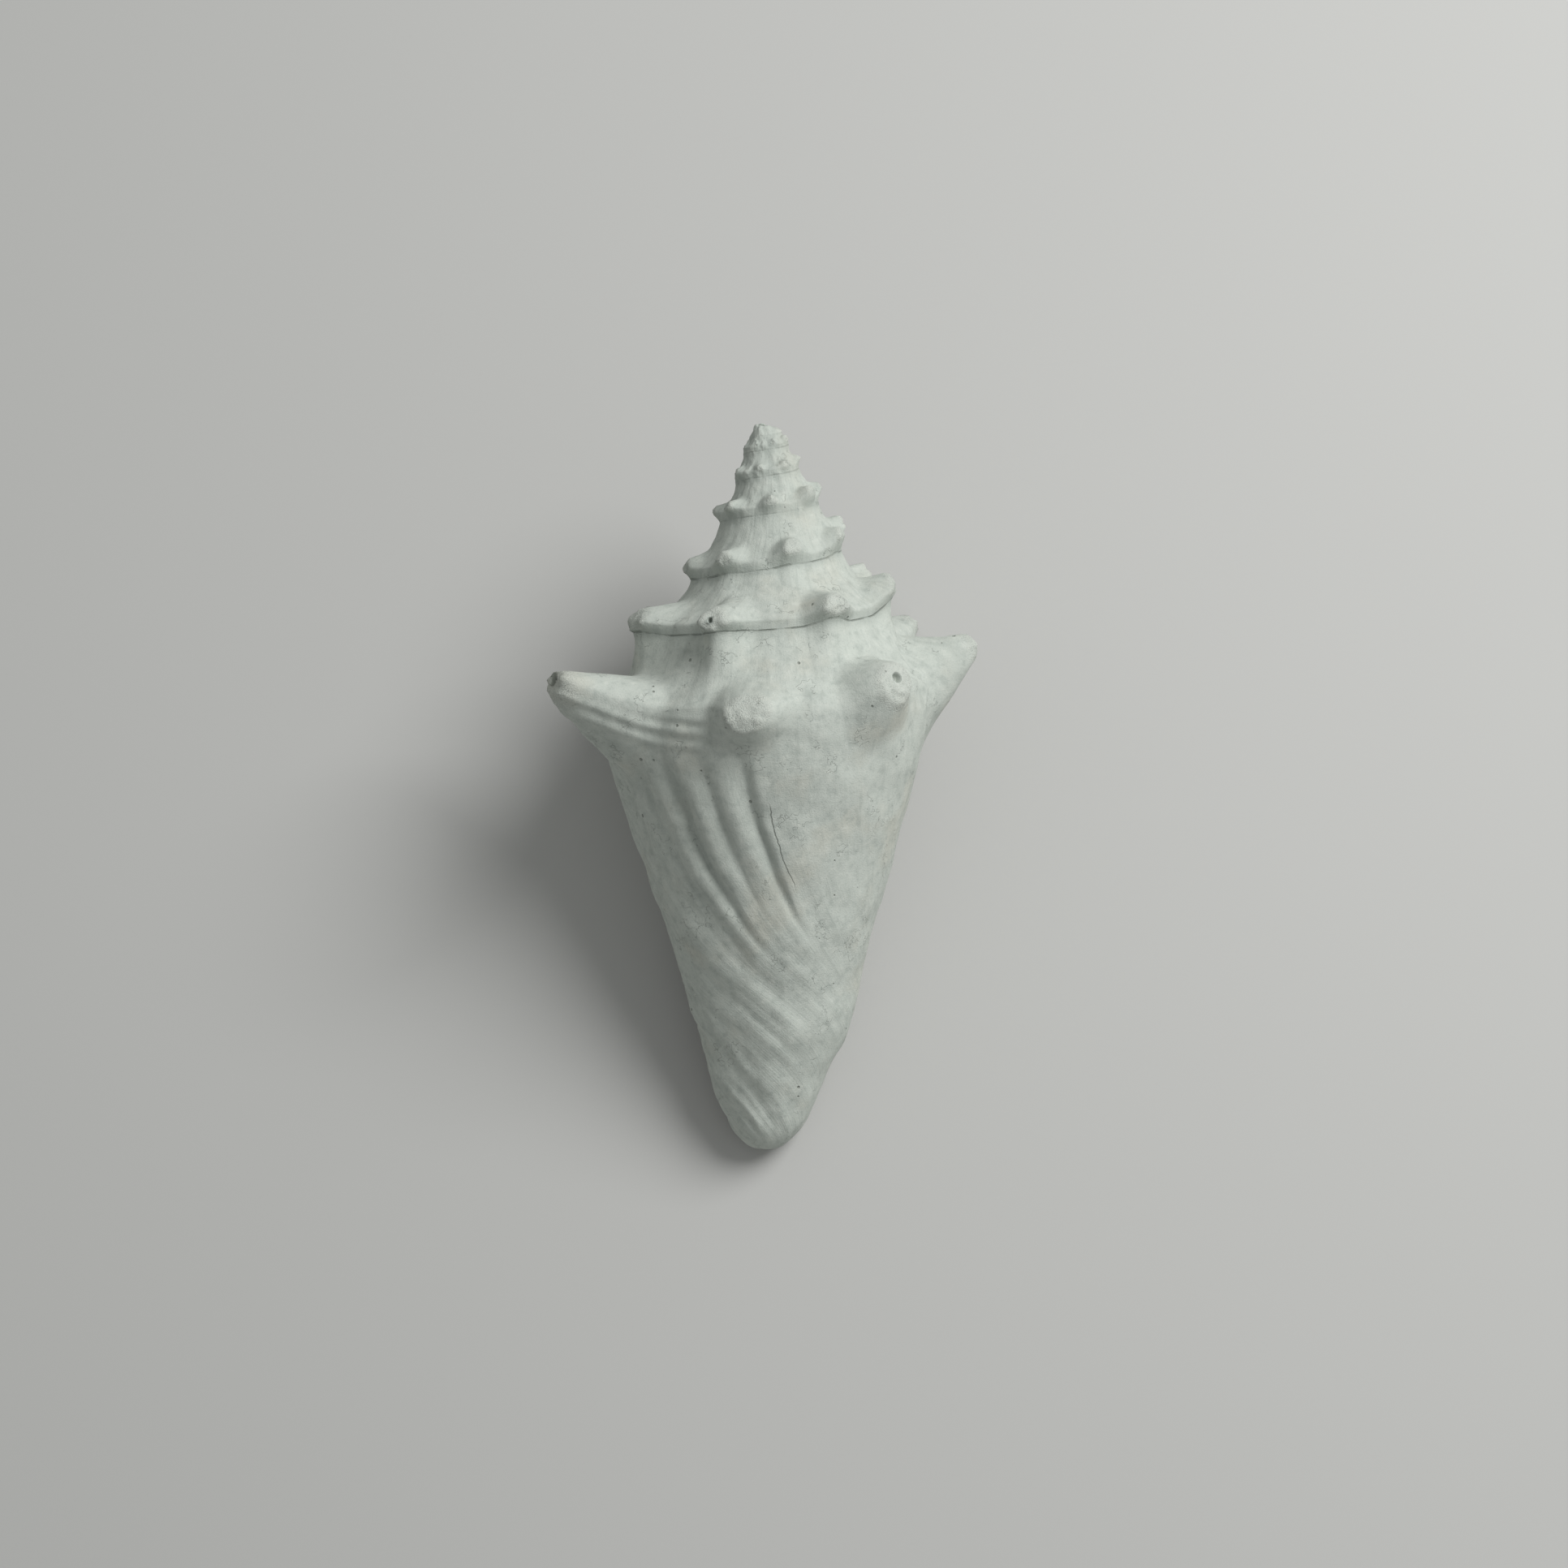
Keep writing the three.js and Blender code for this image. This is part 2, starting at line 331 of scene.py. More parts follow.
def outer_radius(maker, length, turn, radius, depth, drop, x):
    """Outside radius of the last whorl: it starts as the inner side of the aperture and fills out."""
    filled = smooth((turn - LIP_TURN + 1) / 0.3)
    inner = INNER(maker, length, radius, depth, drop, x)[0]
    return [mix(inner, radius * cone(turn, x) * end_round(x), filled)]


OUTER = recipe("outer_side", ["Length", "Turn", "Radius", "Depth", "Drop", "X"], ["Radius"], outer_radius)


def one_knob(maker, turn, radius, rise, middle, length, ahead, behind, up, down, tilt, blunt):
    """How a blunt horn with a flared foot pushes the surface out, and how far up the horn it is."""
    along = (turn - middle) * TAU * radius
    across = along / mix(behind, ahead, along > 0)
    over = rise / mix(up, down, rise > 0)
    slope = clamp((root(across * across + over * over) - blunt) / (1 - blunt))
    filled = least(most(rise * -1, 0.0), up * blunt * 1.3) * 0.45
    rise_share = 1 - slope
    height = (length + filled) * rise_share * rise_share * (1.9 - 0.9 * rise_share)
    flat = height * cosine(tilt)
    around = middle * TAU
    return [sine(around) * flat * -1, height * sine(tilt), cosine(around) * flat, rise_share]


KNOB_PLACE = ["Turn", "Radius", "Rise"]
KNOB_INPUTS = [*KNOB_PLACE, "Middle", "Length", "Ahead", "Behind", "Up", "Down", "Tilt", "Blunt"]
KNOB_OUTPUTS = ["X", "Y", "Z", "Share"]
KNOB = recipe("knob", KNOB_INPUTS, KNOB_OUTPUTS, one_knob)


def all_knobs(maker, turn, radius, rise):
    """How the knobs push the surface out, and how far up a knob it is, at a distance from the shoulder."""
    here = (turn, radius, rise)
    knobs = []
    for middle, *sizes, tilt, blunt in KNOBS:
        knobs.append(KNOB(maker, *here, middle, *sizes, math.radians(tilt), blunt))
    # Earlier knobs follow a rule.
    count = nearest((turn - LAST_RULE_KNOB) / KNOB_SPACING)
    middle = LAST_RULE_KNOB + KNOB_SPACING * least(count, 0.0)
    chance = maker.node("ShaderNodeTexWhiteNoise", {"noise_dimensions": "1D"}, {"W": count})
    side = sine(middle * TAU)
    wide = radius * 0.34
    worn = 1 - 0.5 * smooth((-3.1 - middle) / 0.8)
    length = radius * (0.12 + 0.07 * chance - 0.03 * side) * worn
    up = radius * 0.36
    down = radius * 0.18
    tilt = 0.65 - 0.3 * side
    knobs.append(KNOB(maker, *here, middle, length, wide, wide, up, down, tilt, 0.3))
    total = knobs[0]
    for knob in knobs[1:]:
        total = [a + b for a, b in zip(total[:3], knob)] + [most(total[3], knob[3])]
    return total


KNOBBED = recipe("knobs", KNOB_PLACE, KNOB_OUTPUTS, all_knobs)


def ramp_sizes(maker, radius, depth, drop, old_radius, old_depth, old_drop, share):
    """Radius, depth and distance down from the shoulder, on the ramp from a suture to the next."""
    run = clamp(share / SHOULDER_SHARE)
    past = clamp((share - SHOULDER_SHARE) / (1 - SHOULDER_SHARE))
    start_radius = (1 - SUTURE_SINK) * old_radius
    start_depth = old_depth + old_drop
    here = mix(start_radius, radius * (1 - SUTURE_SINK * past), power(run, 1.4))
    down = mix(start_depth, depth, 1 - power(1 - run, 1.15))
    slant = root(power(radius - start_radius, 2.0) + power(depth - start_depth, 2.0))
    return [here, down + past * drop, (run - 1) * slant + past * drop]


RAMP_INPUTS = ["Radius", "Depth", "Drop", "Old radius", "Old depth", "Old drop", "Share"]
RAMP = recipe("ramp", RAMP_INPUTS, ["Radius", "Depth", "Rise"], ramp_sizes)


def drawn_back(depth):
    """How far the growth folds sweep back down the body, in turns."""
    curve = 0.01444 * (exponent((least(depth, SWEEP_END) - 88) / 20) - 1)
    return curve + 0.0097 * most(depth - SWEEP_END, 0.0)


def fold_depth(maker, turn, depth):
    """Growth folds on the half of the last whorl nearest the lip: broad ridges, narrow grooves."""
    swept = turn + drawn_back(depth)
    spread = maker.vector(turn * 9, depth / 22, 0.0)
    uneven = maker.node("ShaderNodeTexNoise", None, {"Vector": spread, "Scale": 1.0}).pick("Color")
    first, second, _ = maker.parts(uneven)
    count = (swept - FIRST_FOLD) / FOLD_SPACING + (first - 0.5) * 0.4
    rolling = sine(count * math.pi)
    wave = power(root(rolling * rolling + 0.02), 0.8) - 1
    chance = maker.node("ShaderNodeTexWhiteNoise", {"noise_dimensions": "1D"}, {"W": nearest(count)})
    few = mix(1.0, 0.45, smooth((count - 2.3) / 0.6)) * mix(0.75, 1.2, chance)
    started = smooth((count + 0.35) / 0.4)
    reached = smooth((depth - 76) / 12) * mix(1.0, 0.1, smooth((depth - 94 - 16 * chance) / 26))
    strength = FOLD_DEPTH * mix(0.6, 1.6, second) * few
    folds = most(wave * started * reached * strength, -DEEPEST_FOLD)
    ridges = sine(depth * 1.75 + turn * 14 + first * 4) * 0.36
    ridge_mask = smooth((depth - 62) / 3) * smooth((82 - depth) / 5) * smooth((turn - 0.03) / 0.03)
    ridges = ridges * ridge_mask * smooth((0.3 - turn) / 0.1)
    along_sweep = maker.vector(swept * 16, depth / 24, 3.0)
    wrinkled = maker.node("ShaderNodeTexNoise", None, {"Vector": along_sweep, "Scale": 1.0})
    wrinkles = (wrinkled - 0.5) * 2.8 * smooth((depth - 100) / 20) * smooth((turn + 0.12) / 0.1)
    bulge = (second - 0.5) * 1.4 * smooth((depth - 90) / 30) + wrinkles
    return [folds + ridges + bulge, folds / (-0.9 * FOLD_DEPTH)]


FOLDS = recipe("folds", ["Turn", "Depth"], ["Push", "Groove"], fold_depth)


def place(turn, radius, depth, push=(0, 0, 0)):
    """A point of the coil. The apex and the anterior end both bend a little to the left."""
    angle = TAU * turn
    bend = 2.2 * smooth((26 - depth) / 24) + 2.4 * smooth((depth - 128) / 50)
    return [push[0] - radius * sine(angle) - bend, push[1] - depth, push[2] + radius * cosine(angle)]


def surface_point(maker, length, growth, penultimate, turn, share, body):
    """Point on the outside: share runs over the ramp, and body goes on down to the anterior end."""
    size = (length, growth, penultimate)
    whorl = WHORL(maker, *size, turn)
    old = WHORL(maker, *size, turn - 1)
    radius, depth, rise = RAMP(maker, *whorl, *old, share)
    on_body = body > 0
    below = mix(whorl[2], length - whorl[1], body)
    distance = mix(most(rise, 0.0), below, on_body)
    wall = OUTER(maker, length, turn, *whorl, distance / (length - whorl[1]))[0]
    radius = mix(radius, wall, most(on_body, rise > 0))
    depth = mix(depth, whorl[1] + distance, on_body)
    rise = mix(rise, distance, on_body)
    own = KNOBBED(maker, turn, whorl[0], rise)
    carried = KNOBBED(maker, turn - 1, old[0], old[2])
    ease = smooth(share / 0.2)
    carry = power(most(1 - share / SHOULDER_SHARE, 0.0), 2.0)
    push = [a * ease + b * carry for a, b in zip(own[:3], carried)]
    fold, groove = FOLDS(maker, turn, depth)
    shown = smooth(distance / 6) * smooth((turn - LIP_TURN + 1) / 0.25)
    shown = shown * smooth((length - depth) / 8)
    past = clamp((share - SHOULDER_SHARE) / (1 - SHOULDER_SHARE))
    slant = whorl[0] - old[0] + whorl[1] - old[1]
    to_old = share / SHOULDER_SHARE * slant * 0.8
    to_next = (1 - past) * whorl[2] + NO_SEAM * on_body + NO_SEAM * (turn > LIP_TURN - 1)
    marks = [least(to_old, to_next), groove * shown, own[3]]
    return [*place(turn, radius + fold * shown, depth, push), *marks]


SURFACE_OUTPUTS = ["X", "Y", "Z", "Seam", "Groove", "Knob"]
SURFACE = recipe("outside_point", [*SIZES, "Turn", "Share", "Body"], SURFACE_OUTPUTS, surface_point)


# Geometry Nodes -------------------------------------------------------------------------------------------

def sheet(maker, columns, rows):
    """A unit grid and the two shares that run across it and down it."""
    grid = maker.node("GeometryNodeMeshGrid", None, [1.0, 1.0, columns, rows])
    x, y, _ = maker.parts(maker.node("GeometryNodeInputPosition"))
    return grid, x + 0.5, y + 0.5


def kept(maker, mesh, name, value, kind="FLOAT"):
    """Keeps a value with the points of a mesh, for the material."""
    settings = {"data_type": kind, "domain": "POINT"}
    sockets = {"Geometry": mesh, "Name": name, "Value": value}
    return maker.node("GeometryNodeStoreNamedAttribute", settings, sockets)


def moved(maker, mesh, point, inside=0.0):
    """Puts the points of a mesh in place and keeps the marks that the material shows there."""
    for name, value in zip(MARKS, point[3:] or MARKS.values()):
        mesh = kept(maker, mesh, name, value)
    mesh = kept(maker, mesh, "inside", inside)
    at = maker.vector(*(value * MM for value in point[:3]))
    return maker.node("GeometryNodeSetPosition", None, {"Geometry": mesh, "Position": at})


def joined(maker, meshes):
    join = maker.node("GeometryNodeJoinGeometry")
    for mesh in reversed(meshes):
        maker.tree.links.new(mesh.socket, join.socket.node.inputs[0])
    return join


def body_share(row):
    """Rows crowd together below the shoulder and at the rounded anterior end."""
    return mix(row, (1 - cosine(row * math.pi)) / 2, 0.55)


def lip_lag(share):
    return LIP_LAG * smooth(share / 0.8)


def last_whorl_rows(v):
    """Shares down the ramp and down the body, on a sheet that runs from the suture to the anterior end."""
    row = v * (RAMP_ROWS + BODY_ROWS)
    return clamp(row / RAMP_ROWS), body_share(clamp((row - RAMP_ROWS) / BODY_ROWS))


def outside(maker, size):
    """The whole outside of the shell, closed across the aperture."""
    start = LIP_TURN - 1 - SPIRE_TURNS
    rows = RAMP_ROWS + BODY_ROWS

    grid, u, v = sheet(maker, round(SPIRE_TURNS * COLUMNS) + 1, RAMP_ROWS + 1)
    spire = moved(maker, grid, SURFACE(maker, *size, start + u * SPIRE_TURNS, v, 0.0))

    grid, u, v = sheet(maker, COLUMNS + 1, rows + 1)
    share, body = last_whorl_rows(v)
    turn = LIP_TURN - 1 + u - lip_lag(body) * u
    last = moved(maker, grid, SURFACE(maker, *size, turn, share, body))

    grid, u, v = sheet(maker, CAP_COLUMNS + 1, rows + 1)
    share, body = last_whorl_rows(v)
    lip = SURFACE(maker, *size, LIP_TURN - lip_lag(body), share, body)
    pillar = SURFACE(maker, *size, LIP_TURN - 1, 1.0, body)
    cap = moved(maker, grid, [mix(a, b, u) for a, b in zip(lip, pillar)])

    def dome(edge, w):
        return [mix(a, b, share) for a, b, share in zip(WORN_TIP, edge, [w, power(w, 2.2), w])]

    grid, u, v = sheet(maker, COLUMNS + 1, APEX_RINGS + 1)
    apex = moved(maker, grid, dome(SURFACE(maker, *size, start + u, 0.0, 0.0), v))
    grid, u, v = sheet(maker, APEX_RINGS + 1, RAMP_ROWS + 1)
    apex_side = moved(maker, grid, dome(SURFACE(maker, *size, start, v, 0.0), u))

    whole = joined(maker, [spire, last, cap, apex, apex_side])
    return maker.node("GeometryNodeMergeByDistance", None, {"Geometry": whole, "Distance": MERGE})


def hollow(maker, size):
    """The tube behind the aperture, closed at both ends."""
    length = size[0]
    round_trip = 2 * (HOLLOW_ROWS + HOLLOW_CROSS_ROWS)
    grid, u, v = sheet(maker, HOLLOW_COLUMNS + 1, round_trip + 1)
    row = v * round_trip
    down = clamp(least(row, 2 * HOLLOW_ROWS + HOLLOW_CROSS_ROWS - row) / HOLLOW_ROWS)
    cross = clamp(least(row - HOLLOW_ROWS, round_trip - row) / HOLLOW_CROSS_ROWS)
    turn = LIP_TURN - HOLLOW_TURNS + (HOLLOW_TURNS + PAST_LIP) * clamp(u * 1.01)

    share = mix(0.3, 1.0, clamp(down / HOLLOW_RAMP_PART))
    body = HOLLOW_FOOT * clamp((down - HOLLOW_RAMP_PART) / (1 - HOLLOW_RAMP_PART))
    lagged = turn - lip_lag(body) * clamp(turn - LIP_TURN + 1)
    whorl = WHORL(maker, *size, lagged)
    old = WHORL(maker, *size, lagged - 1)
    radius, depth, rise = RAMP(maker, *whorl, *old, share)
    distance = mix(most(rise, 0.0), length - whorl[1], body)
    on_wall = rise > 0
    wall = OUTER(maker, length, lagged, *whorl, distance / (length - whorl[1]))[0]
    fold = FOLDS(maker, lagged, whorl[1] + distance)[0] * smooth((lagged - LIP_TURN + 1) / 0.25)
    thick = mix(LIP_WALL, WALL, smooth((LIP_TURN - turn) / 0.08))
    thick = thick - least(fold, 0.0) * smooth(distance / 6)
    lean = smooth(share / SHOULDER_SHARE)
    wall_radius = mix(radius, wall, on_wall) - thick * mix(0.6, 1.0, lean)
    wall_depth = mix(depth, whorl[1] + distance, on_wall) + thick * mix(0.8, 0.45, lean)

    inside = WHORL(maker, *size, turn - 1)
    x = clamp((wall_depth - inside[1]) / (length - inside[1]))
    inner = least(INNER(maker, length, *inside, x)[0] + CALLUS, wall_radius - 0.6)
    point = place(mix(lagged, turn, cross), mix(wall_radius, inner, cross), wall_depth)

    # Towards both ends the ring closes onto its middle.
    middle_whorl = WHORL(maker, *size, turn)
    middle = place(turn, middle_whorl[0] * HOLLOW_END_RADIUS, middle_whorl[1] + HOLLOW_END_DROP)
    closing = most(smooth((HOLLOW_TAPER - u) / HOLLOW_TAPER), u > 0.995)
    tube = moved(maker, grid, [mix(a, b, closing) for a, b in zip(point, middle)], 1.0)
    return maker.node("GeometryNodeMergeByDistance", None, {"Geometry": tube, "Distance": MERGE})


def bores(maker, size):
    """Tapered holes in the knobs whose tips have broken off."""
    made = []
    for turned, tilt, wide, deep in HOLLOW_TIPS:
        top = SURFACE(maker, *size, turned, SHOULDER_SHARE, 0.0)
        around = TAU * turned
        up = math.sin(math.radians(tilt))
        flat = math.cos(math.radians(tilt))
        out = (-math.sin(around) * flat, up, math.cos(around) * flat)
        cone_sizes = {
            "Vertices": 24,
            "Side Segments": 5,
            "Radius Top": wide * MM,
            "Radius Bottom": wide * 0.35 * MM,
            "Depth": 2 * deep * MM,
        }
        # The seam mark makes the material paint shade into the holes
        drill = kept(maker, maker.node("GeometryNodeMeshCone", None, cone_sizes), "seam", HOLE_SHADE_SEAM)
        turned_to = maker.node("FunctionNodeAlignRotationToVector", {"axis": "Z"}, {"Vector": out})
        start = maker.vector(*((a - deep * b) * MM for a, b in zip(top, out)))
        move = {"Geometry": drill, "Translation": start, "Rotation": turned_to}
        made.append(maker.node("GeometryNodeTransform", None, move))
    return made


def shell_tree(material):
    """The whole recipe: outside, minus hollow and holes, weathered and laid on the floor."""
    tree = bpy.data.node_groups.new("grown_shell", "GeometryNodeTree")
    tree.interface.new_socket("Geometry", in_out="OUTPUT", socket_type="NodeSocketGeometry")
    for label, default in SIZES.items():
        socket = tree.interface.new_socket(label, in_out="INPUT", socket_type="NodeSocketFloat")
        socket.default_value = default
    maker = Maker(tree)
    entry = maker.node("NodeGroupInput")
    size = [entry.pick(label) for label in SIZES]
    body = outside(maker, size)
    tube = hollow(maker, size)
    cutting = {"operation": "DIFFERENCE", "solver": "MANIFOLD"}
    cut = maker.node("GeometryNodeMeshBoolean", cutting, {"Mesh 1": body})
    for cutter in [*bores(maker, size), tube]:
        maker.tree.links.new(cutter.socket, cut.socket.node.inputs["Mesh 2"])

    # Weathering: low swells all over, crumbling on the apex and on the tips of the knobs
    here = maker.node("GeometryNodeInputPosition")
    grown = maker.node("ShaderNodeVectorMath", {"operation": "SCALE"}, {"Vector": here, "Scale": 1 / MM})
    marked = kept(maker, cut, "grown", grown, "FLOAT_VECTOR")
    depth = -maker.parts(grown)[1]
    broad = maker.node("ShaderNodeTexNoise", None, {"Vector": grown, "Scale": 0.09, "Detail": 1.0})
    rough = maker.node("ShaderNodeTexNoise", None, {"Vector": grown, "Scale": 0.42, "Detail": 2.0})
    worn = 0.25 + 1.7 * exponent(most(depth, 0.0) / -16)
    knob = maker.node("GeometryNodeInputNamedAttribute", {"data_type": "FLOAT"}, {"Name": "knob"})
    crumbled = 1.8 * smooth((knob - 0.8) / 0.2)
    lift = ((broad - 0.5) * 1.6 + (rough - 0.5) * (worn + crumbled)) * MM
    normal = maker.node("GeometryNodeInputNormal")
    offset = maker.node("ShaderNodeVectorMath", {"operation": "SCALE"}, {"Vector": normal, "Scale": lift})
    weathered = maker.node("GeometryNodeSetPosition", None, {"Geometry": marked, "Offset": offset})

    # Laid on its two low spines and its anterior end, in the middle of the floor
    roll = {"Geometry": weathered, "Rotation": (0, REST_ROLL, 0)}
    rolled = maker.node("GeometryNodeTransform", None, roll)
    tilt = {"Geometry": rolled, "Rotation": (REST_TILT, 0, 0)}
    tilted = maker.node("GeometryNodeTransform", None, tilt)
    box = maker.node("GeometryNodeBoundBox", None, {"Geometry": tilted}, out="Min")
    low = maker.parts(box)
    high = maker.parts(box.pick("Max"))
    floor = low[2] + REST_WEAR * MM
    x, y, z = maker.parts(maker.node("GeometryNodeInputPosition"))
    at = maker.vector(x - (low[0] + high[0]) / 2, y - (low[1] + high[1]) / 2, most(z, floor) - floor)
    laid = maker.node("GeometryNodeSetPosition", None, {"Geometry": tilted, "Position": at})
    shaded = maker.node("GeometryNodeSetShadeSmooth", None, {"Geometry": laid})
    real = maker.node("GeometryNodeRealizeInstances", None, {"Geometry": shaded})
    done = maker.node("GeometryNodeSetMaterial", None, {"Geometry": real, "Material": material})
    maker.node("NodeGroupOutput", None, [done])
    return tree


def grow(tree, name):
    """Runs a tree on an empty mesh and keeps the result as a plain mesh object."""
    seedling = bpy.data.objects.new(name + "_seedling", bpy.data.meshes.new(name + "_seedling"))
    bpy.context.scene.collection.objects.link(seedling)
    modifier = seedling.modifiers.new("grow", "NODES")
    modifier.node_group = tree
    for item in tree.interface.items_tree:
        if item.item_type == "SOCKET" and item.in_out == "INPUT":
            modifier[item.identifier] = SIZES[item.name]
    grown = seedling.evaluated_get(bpy.context.evaluated_depsgraph_get())
    mesh = bpy.data.meshes.new_from_object(grown)
    mesh.name = name
    bpy.data.objects.remove(seedling)
    piece = bpy.data.objects.new(name, mesh)
    bpy.context.scene.collection.objects.link(piece)
    return piece


def bleached_lime():
    """Chalky, sun-bleached lime with a grey-green cast, with painted shade and grime darkening its grooves.
    """
    material = bpy.data.materials.new("bleached_lime")
    material.use_nodes = True
    maker = Maker(material.node_tree)
    shader = material.node_tree.nodes["Principled BSDF"]

    def attribute(name, output):
        return maker.node("ShaderNodeAttribute", {"attribute_name": name}, {}, out=output)

    def noise(vector, scale, detail=2.0, roughness=0.5):
        sizes = {"Vector": vector, "Scale": scale, "Detail": detail, "Roughness": roughness}
        return maker.node("ShaderNodeTexNoise", None, sizes)

    def blend(share, first, second):
        # Sockets 0, 6 and 7 are the factor and the two colours, and output 2 is the colour.
        return maker.node("ShaderNodeMix", {"data_type": "RGBA"}, {0: share, 6: first, 7: second}, out=2)

    grown = attribute("grown", "Vector")
    seam = attribute("seam", "Fac")
    groove = attribute("groove", "Fac")
    knob = attribute("knob", "Fac")
    inside = attribute("inside", "Fac")
    x, y, z = maker.parts(grown)
    depth = -y
    around = maker.sum("ARCTAN2", x, z) / -TAU
    turn = maker.sum("FRACT", around + 1 - LIP_TURN) - 1 + LIP_TURN
    swept = turn + drawn_back(depth)

    # Fine growth lines, hair cracks, pits and chalk
    lines = noise(maker.vector(swept * 150, depth / 9, 0.0), 1.0, 3.0, 0.6)
    across_lines = noise(maker.vector(turn * 12, depth * 1.1, 5.0), 1.0, 2.0, 0.6)
    grain = noise(grown, 2.6, 4.0, 0.65)
    blotch = noise(grown, 0.055, 3.0, 0.55)
    patch = noise(grown, 0.16, 3.0, 0.6)
    cloud = noise(grown, 0.42, 4.0, 0.6)
    cells = maker.node("ShaderNodeTexVoronoi", {"feature": "F1"}, {"Vector": grown, "Scale": 0.34})
    chosen = maker.parts(cells.pick("Color"))[0] - 0.86
    pits = smooth((1.1 * chosen + 0.03 - cells) / 0.08) * (chosen > 0.0)
    bent = noise(maker.vector(depth / 6, 2.0, 0.0), 1.0, 3.0, 0.6) - 0.5
    crack_run = smooth((depth - 91) / 4) * smooth((116 - depth) / 8)
    crack = smooth((0.0011 - absolute(swept - 0.0105 - bent * 0.012)) / 0.0008) * crack_run
    mended = noise(grown, 0.12, 2.0, 0.5)
    web = absolute(noise(grown, 0.2, 3.0, 0.6) - 0.5)
    hair = smooth((0.006 - web) / 0.005) * smooth((mended - 0.56) / 0.05)
    seam_line = smooth((0.34 - seam) / 0.28) * mix(0.3, 1.0, smooth((patch - 0.42) / 0.15))
    seam_line = seam_line * mix(0.35, 1.0, smooth((depth - 22) / 22))
    # Painted shade and grime near the sutures and in the holes of broken knobs
    seam_shade_and_grime = smooth((3.2 - seam) / 3.0)
    chalk = smooth((knob - 0.78) / 0.16)

    pale = (0.495, 0.53, 0.485, 1)
    warm = (0.51, 0.505, 0.435, 1)
    # Grey-green for stains, also used as painted shade in the fold grooves, near the sutures and in the
    # knob holes
    stain_and_shade = (0.32, 0.355, 0.325, 1)
    dark = (0.10, 0.115, 0.095, 1)
    white = (0.60, 0.625, 0.57, 1)
    colour = blend(smooth((blotch - 0.5) / 0.22) * 0.55, pale, warm)
    colour = blend(smooth((0.52 - patch) / 0.24) * 0.3, colour, stain_and_shade)
    colour = blend(smooth((0.5 - cloud) / 0.2) * 0.42, colour, stain_and_shade)
    colour = blend(smooth((cloud - 0.52) / 0.2) * 0.45, colour, white)
    # Painted shade and grime in the fold grooves
    colour = blend(groove * 0.35, colour, stain_and_shade)
    # Painted shade and grime along the sutures and in the knob holes
    colour = blend(seam_shade_and_grime * 0.35, colour, stain_and_shade)
    colour = blend(smooth((lines - 0.5) / 0.22) * 0.3, colour, stain_and_shade)
    colour = blend(smooth((0.46 - grain) / 0.16) * 0.5, colour, stain_and_shade)
    colour = blend(chalk * smooth((grain - 0.36) / 0.16) * 0.45, colour, white)
    colour = blend(most(pits * 0.6, most(crack * 0.5, hair * 0.3)), colour, dark)
    colour = blend(seam_line * 0.48, colour, dark)
    inner = blend(patch, (0.55, 0.47, 0.39, 1), (0.5, 0.5, 0.43, 1))
    colour = blend(inside, colour, inner)
    maker.tree.links.new(colour.socket, shader.inputs["Base Color"])
    rough = 0.9 - 0.3 * inside
    maker.tree.links.new(rough.socket, shader.inputs["Roughness"])
    shader.inputs["Specular IOR Level"].default_value = 0.3

    relief = (lines - 0.5) * 0.1 + (across_lines - 0.5) * 0.03 + (grain - 0.5) * (0.12 + 0.24 * chalk)
    relief = (relief - pits * 0.3) * (1 - inside * 0.85) - most(crack, hair * 0.5) * 0.2 - seam_line * 0.24
    bump = maker.node("ShaderNodeBump", None, {"Strength": 1.0, "Distance": MM, "Height": relief})
    maker.tree.links.new(bump.socket, shader.inputs["Normal"])
    return material


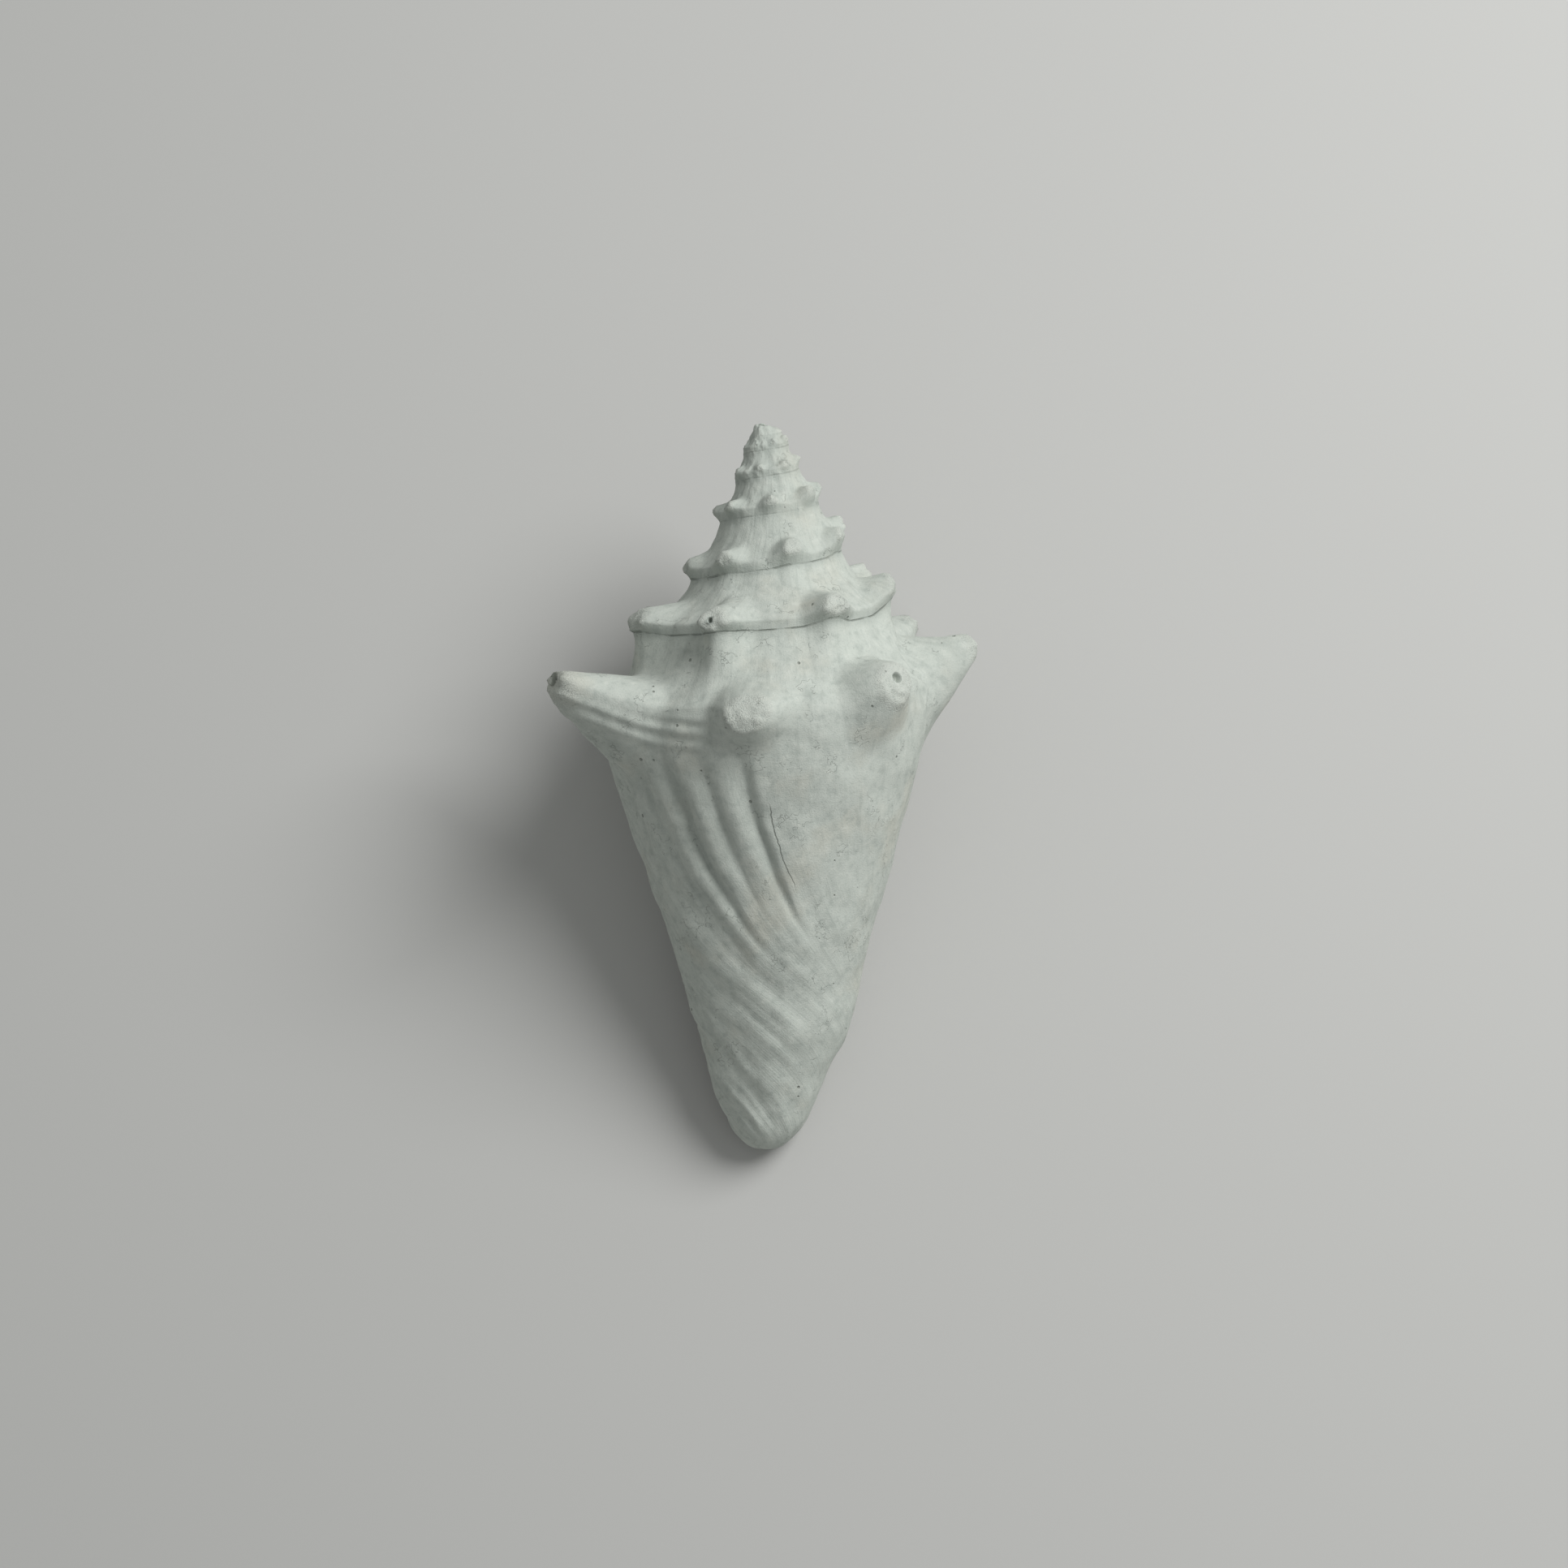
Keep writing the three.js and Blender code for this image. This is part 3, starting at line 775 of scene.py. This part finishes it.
def studio(box):
    """A pale floor, one soft lamp, and the camera, which looks down on the shell's back."""
    low, high = (Vector(corner) for corner in box)
    middle = (low + high) / 2
    floor_mesh = bpy.data.meshes.new("floor")
    half = 3.0
    corners = [(-half, -half, 0), (half, -half, 0), (half, half, 0), (-half, half, 0)]
    floor_mesh.from_pydata(corners, [], [(0, 1, 2, 3)])
    floor = bpy.data.objects.new("floor", floor_mesh)
    bpy.context.scene.collection.objects.link(floor)
    paint = bpy.data.materials.new("pale_floor")
    paint.use_nodes = True
    coat = paint.node_tree.nodes["Principled BSDF"]
    coat.inputs["Base Color"].default_value = (0.5, 0.5, 0.485, 1)
    coat.inputs["Roughness"].default_value = 0.9
    floor_mesh.materials.append(paint)

    light = bpy.data.lights.new("key", "AREA")
    light.shape = "DISK"
    light.size = KEY_SIZE
    light.energy = KEY_WATTS
    key = bpy.data.objects.new("key", light)
    key.location = KEY_PLACE
    key.rotation_euler = (middle - Vector(KEY_PLACE)).to_track_quat("-Z", "Y").to_euler()
    bpy.context.scene.collection.objects.link(key)

    world = bpy.data.worlds.new("studio")
    world.use_nodes = True
    sky = world.node_tree.nodes["Background"]
    sky.inputs["Color"].default_value = (0.93, 0.95, 0.94, 1)
    sky.inputs["Strength"].default_value = SKY_STRENGTH
    bpy.context.scene.world = world
    bpy.context.scene.view_settings.view_transform = "Standard"

    resting = Euler((REST_TILT, 0, 0)).to_matrix() @ Euler((0, REST_ROLL, 0)).to_matrix()
    towards = resting @ Vector((0, math.sin(VIEW_LEAN), math.cos(VIEW_LEAN)))
    up = resting @ Vector((0, 1, 0))
    side = up.cross(towards).normalized()
    over = towards.cross(side)
    camera = bpy.data.cameras.new("camera")
    camera.sensor_width = SENSOR_WIDTH_MM
    camera.lens = SENSOR_WIDTH_MM * VIEW_DISTANCE / FRAME_WIDTH
    eye = bpy.data.objects.new("camera", camera)
    aim = middle + side * AIM_RIGHT - over * AIM_DOWN
    basis = eye.matrix_world.to_3x3()
    basis.col[0], basis.col[1], basis.col[2] = side, over, towards
    eye.matrix_world = basis.to_4x4()
    eye.location = aim + towards * VIEW_DISTANCE
    bpy.context.scene.collection.objects.link(eye)
    bpy.context.scene.camera = eye


lime = bleached_lime()
shell = grow(shell_tree(lime), "shell_worn")
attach(shell, "root")
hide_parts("shell")
studio(cad_box)

bpy.context.view_layer.update()
